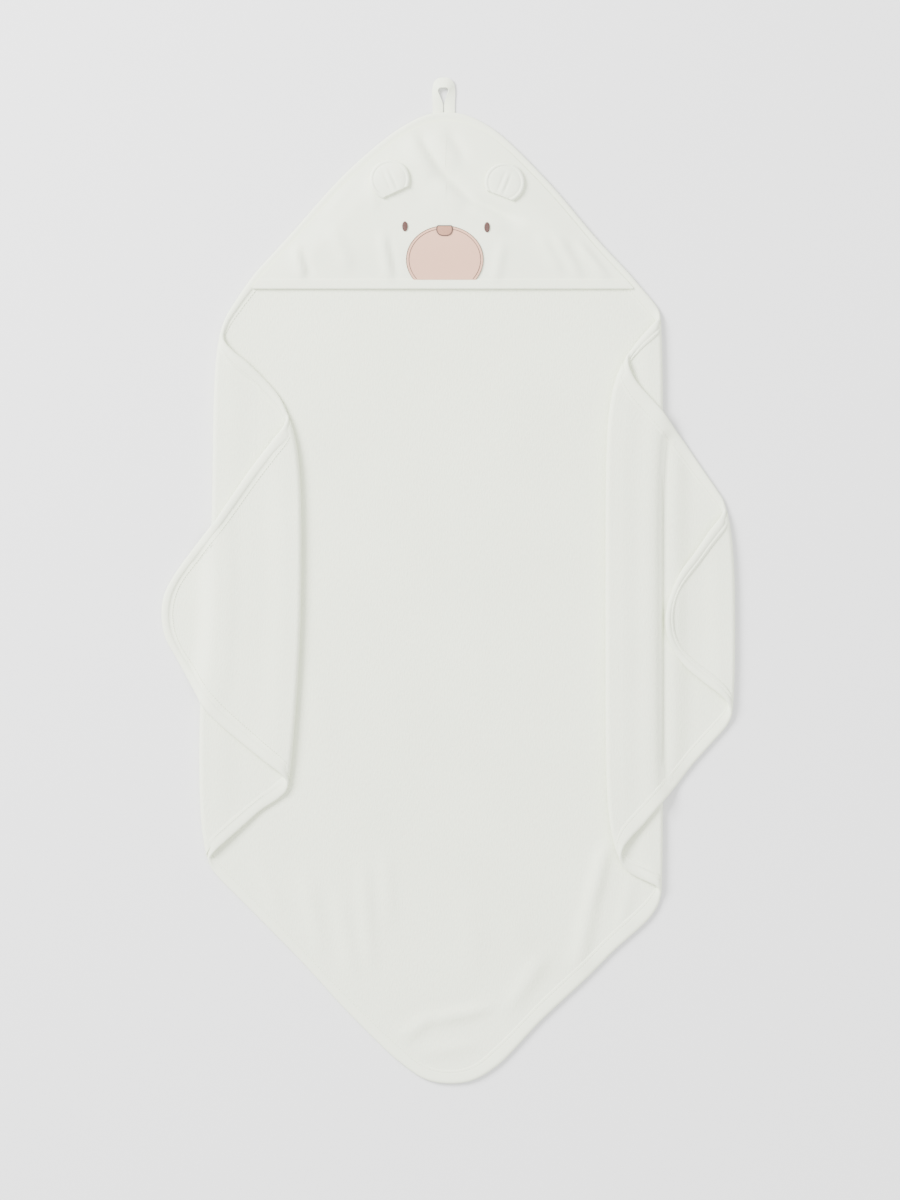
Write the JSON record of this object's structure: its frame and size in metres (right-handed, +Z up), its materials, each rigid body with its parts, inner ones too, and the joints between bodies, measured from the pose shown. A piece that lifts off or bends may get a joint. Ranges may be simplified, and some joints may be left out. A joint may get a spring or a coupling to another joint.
{
  "type": "hooded baby towel",
  "caption": "Square terry towel with a bound hem and a sewn corner hood with ears and an applique muzzle, its side corners folded in pleats, and a hanging loop.",
  "frame": {"origin": "on the underside, in the middle of the towel's square, on the surface it lies on", "axes": "+X to the towel's right as seen from above, +Y towards the hood, +Z up from the ground"},
  "size_m": [0.5931, 1.0362, 0.0151],
  "materials": {
    "terry": "looped terry pile",
    "hem": "rolled, twin-stitched cotton",
    "hood_velour": "short smooth velour",
    "hood_tape": "woven bias tape",
    "loop_tape": "woven cotton tape",
    "muzzle_cloth": "short velour applique",
    "brown_thread": "satin embroidery thread",
    "nose_thread": "satin embroidery thread",
    "eye_thread": "satin embroidery thread"
  },
  "bodies": {
    "towel": {"body_panel": "terry", "lower_hem": "hem", "upper_hem": "hem"},
    "left_inner_layer": {"left_inner_panel": "terry", "left_inner_hem": "hem"},
    "left_corner_layer": {"left_corner_panel": "terry", "left_corner_hem": "hem"},
    "right_inner_layer": {"right_inner_panel": "terry", "right_inner_hem": "hem"},
    "right_middle_layer": {"right_middle_panel": "terry", "right_middle_hem": "hem"},
    "right_corner_layer": {"right_corner_panel": "terry", "right_corner_hem": "hem"},
    "hood": {"hood_panel": "hood_velour", "hood_edge_binding": "hood_tape", "muzzle_patch": "muzzle_cloth", "muzzle_stitching": "brown_thread", "nose": "nose_thread", "nose_outline": "brown_thread", "left_eye": "eye_thread", "right_eye": "eye_thread"},
    "left_ear": {"left_ear_back": "terry", "left_ear_front": "hood_velour"},
    "right_ear": {"right_ear_back": "terry", "right_ear_front": "hood_velour"},
    "loop": {"hanging_loop": "loop_tape"}
  },
  "joints": [
    {"name": "left_pleat", "type": "hinge", "parent": "towel", "child": "left_inner_layer", "pos_m": [-0.247, 0, 0.0038], "axis": [-0.0419, -0.9991, 0], "range_deg": [0, 175]},
    {"name": "left_corner_fold", "type": "hinge", "parent": "left_inner_layer", "child": "left_corner_layer", "pos_m": [-0.152, 0, 0.0078], "axis": [-0.0419, -0.9991, 0], "range_deg": [-175, 0]},
    {"name": "right_pleat", "type": "hinge", "parent": "towel", "child": "right_inner_layer", "pos_m": [0.223, 0, 0.0038], "axis": [0, 1, 0], "range_deg": [0, 172]},
    {"name": "right_middle_fold", "type": "hinge", "parent": "right_inner_layer", "child": "right_middle_layer", "pos_m": [0.165, 0, 0.0078], "axis": [0, 1, 0], "range_deg": [-172, 0]},
    {"name": "right_corner_fold", "type": "hinge", "parent": "right_middle_layer", "child": "right_corner_layer", "pos_m": [0.297, 0, 0.0038], "axis": [0, 1, 0], "range_deg": [0, 172]},
    {"name": "hood_lift", "type": "hinge", "parent": "towel", "child": "hood", "pos_m": [0, 0.4902, 0.0036], "axis": [-1, 0, 0], "range_deg": [0, 10]},
    {"name": "left_ear_flap", "type": "hinge", "parent": "hood", "child": "left_ear", "pos_m": [-0.052, 0.4155, 0.013], "axis": [0.907, 0.421, 0], "range_deg": [0, 150]},
    {"name": "right_ear_flap", "type": "hinge", "parent": "hood", "child": "right_ear", "pos_m": [0.055, 0.412, 0.013], "axis": [0.9285, -0.3714, 0], "range_deg": [0, 150]},
    {"name": "loop_flip", "type": "hinge", "parent": "towel", "child": "loop", "pos_m": [0, 0.503, 0.0066], "axis": [1, 0, 0], "range_deg": [0, 150]}
  ],
  "couplings": [
    {"joint": "left_corner_fold", "follows": "left_pleat", "ratio": -1},
    {"joint": "right_middle_fold", "follows": "right_pleat", "ratio": -1},
    {"joint": "right_corner_fold", "follows": "right_pleat", "ratio": 1}
  ]
}
